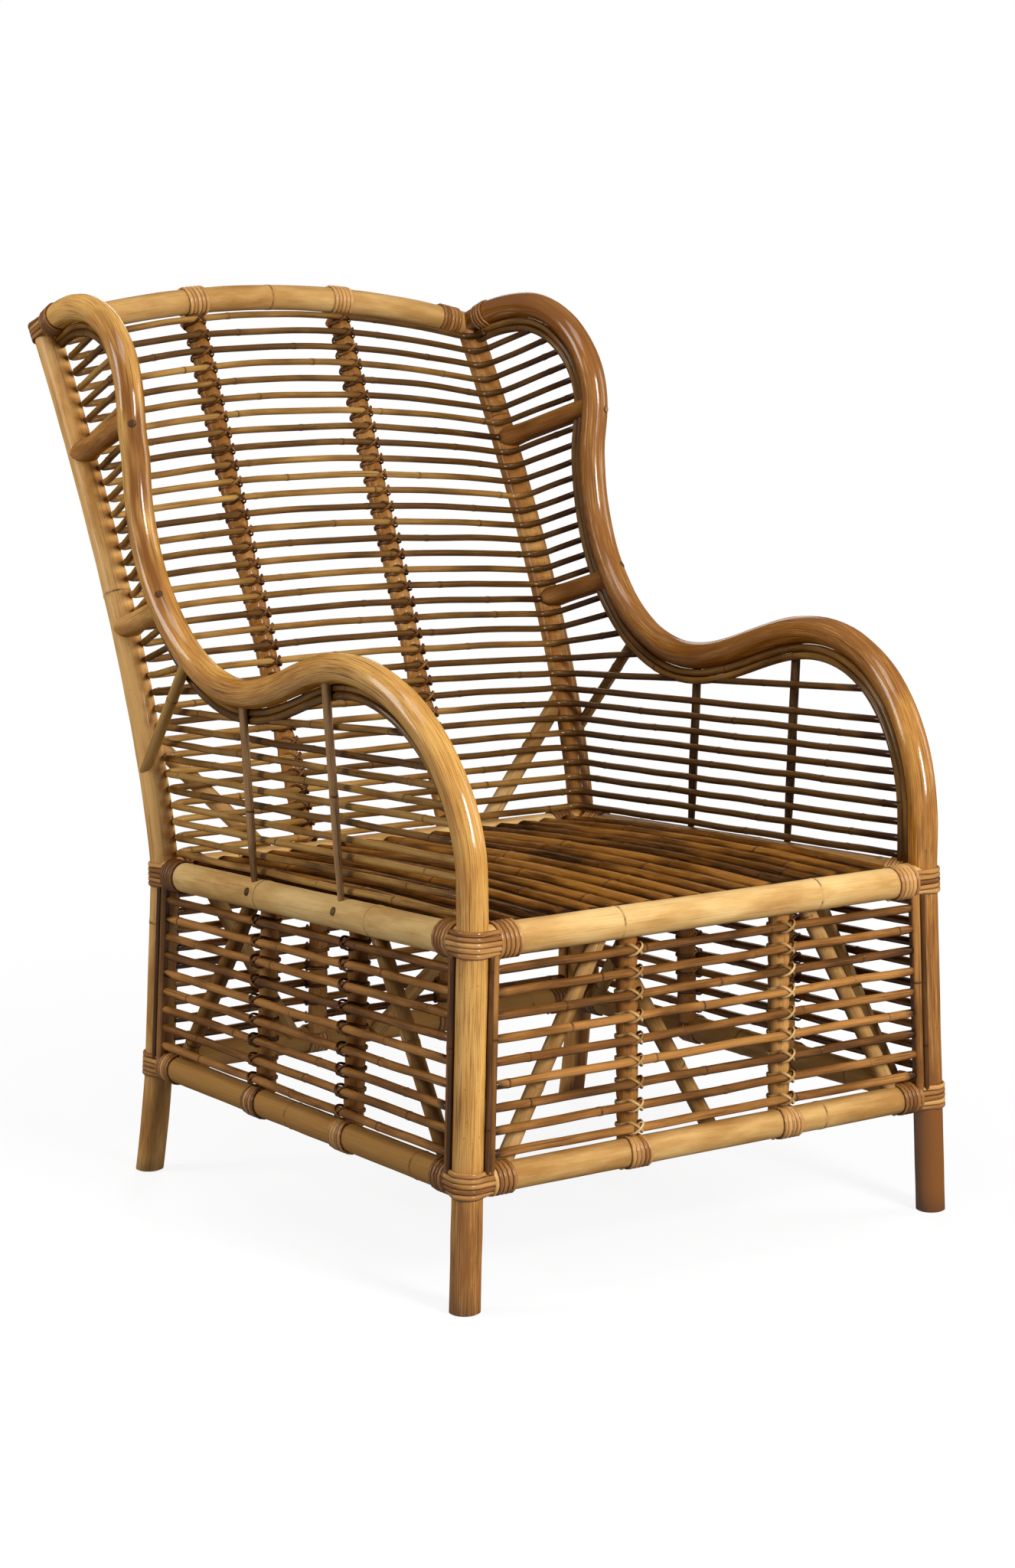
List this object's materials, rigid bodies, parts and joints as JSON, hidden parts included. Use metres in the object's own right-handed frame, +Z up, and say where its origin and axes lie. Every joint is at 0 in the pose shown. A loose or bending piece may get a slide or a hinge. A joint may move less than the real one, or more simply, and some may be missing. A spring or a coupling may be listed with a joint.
{
  "type": "rattan wing armchair",
  "caption": "High-backed rattan armchair with bent-pole arms and wings, a slatted cane back, arms and seat, and a slatted base between straight rails.",
  "frame": {"origin": "on the floor, in the middle of the chair's bounding box", "axes": "+Z up, -Y towards the front, +X towards the right as seen from the front"},
  "size_m": [0.674, 0.9222, 1.0262],
  "materials": {
    "honey_cane": "lacquered rattan pole, satin",
    "straw_cane": "lacquered pale rattan pole, satin",
    "amber_cane": "lacquered thin cane, satin",
    "brown_cane": "lacquered dark cane, satin"
  },
  "bodies": {
    "root": {"back_and_arm_slats": "amber_cane", "crest_rail": "straw_cane", "front_base_left_brace": "honey_cane", "front_base_left_stile": "honey_cane", "front_base_right_brace": "honey_cane", "front_base_right_stile": "honey_cane", "front_base_slats": "brown_cane", "front_inner_brace": "honey_cane", "front_lower_left_binding": "brown_cane", "front_lower_rail": "straw_cane", "front_lower_right_binding": "brown_cane", "front_seat_rail": "straw_cane", "left_arm_pole": "honey_cane", "left_arm_rod": "brown_cane", "left_back_brace": "honey_cane", "left_back_stile": "honey_cane", "left_base_front_brace": "honey_cane", "left_base_front_stile": "honey_cane", "left_base_rear_brace": "honey_cane", "left_base_rear_stile": "honey_cane", "left_base_slats": "brown_cane", "left_crest_corner_binding": "brown_cane", "left_crest_stile_binding": "brown_cane", "left_front_spindle": "brown_cane", "left_lower_rail": "straw_cane", "left_lower_wing_spreader": "honey_cane", "left_outer_liner": "amber_cane", "left_rear_post": "honey_cane", "left_rear_spindle": "brown_cane", "left_seat_rail": "straw_cane", "left_upper_wing_spreader": "honey_cane", "rear_base_left_brace": "honey_cane", "rear_base_left_stile": "honey_cane", "rear_base_right_brace": "honey_cane", "rear_base_right_stile": "honey_cane", "rear_base_slats": "brown_cane", "rear_inner_brace": "honey_cane", "rear_lower_rail": "straw_cane", "rear_seat_rail": "straw_cane", "right_arm_pole": "honey_cane", "right_arm_rod": "brown_cane", "right_back_brace": "honey_cane", "right_back_stile": "honey_cane", "right_base_front_brace": "honey_cane", "right_base_front_stile": "honey_cane", "right_base_rear_brace": "honey_cane", "right_base_rear_stile": "honey_cane", "right_base_slats": "brown_cane", "right_crest_corner_binding": "brown_cane", "right_crest_stile_binding": "brown_cane", "right_front_spindle": "brown_cane", "right_lower_rail": "straw_cane", "right_lower_wing_spreader": "honey_cane", "right_outer_liner": "amber_cane", "right_rear_post": "honey_cane", "right_rear_spindle": "brown_cane", "right_seat_rail": "straw_cane", "right_upper_wing_spreader": "honey_cane", "seat_slats": "amber_cane"}
  },
  "joints": []
}
